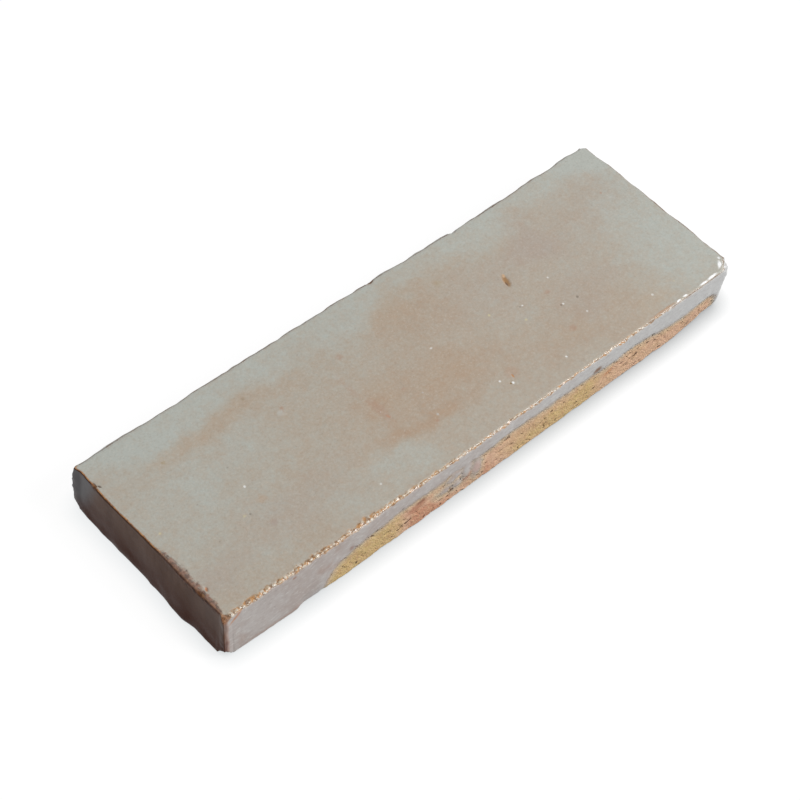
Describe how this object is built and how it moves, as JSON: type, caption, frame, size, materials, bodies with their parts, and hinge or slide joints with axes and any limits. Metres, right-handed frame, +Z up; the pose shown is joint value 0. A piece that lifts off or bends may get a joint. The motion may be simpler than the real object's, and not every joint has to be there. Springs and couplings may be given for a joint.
{
  "type": "zellige tile",
  "caption": "Oblong hand-cut terracotta tile with a softly wavy milky glaze on its face, glaze runs down its sides, bare clay below them and chipped edges.",
  "frame": {"origin": "middle of the tile's box, on its underside", "axes": "+X along the tile, from the all-glazed short end to the other one; +Y across it, from the long side with the bare clay in view to the hidden one; +Z up out of the glazed face"},
  "size_m": [0.1526, 0.052, 0.0139],
  "materials": {
    "glazed_terracotta": "satin milky glaze, pale grey-green to pinkish beige, over pink and ochre terracotta"
  },
  "bodies": {
    "root": {"zellige_tile": "glazed_terracotta"}
  },
  "joints": []
}
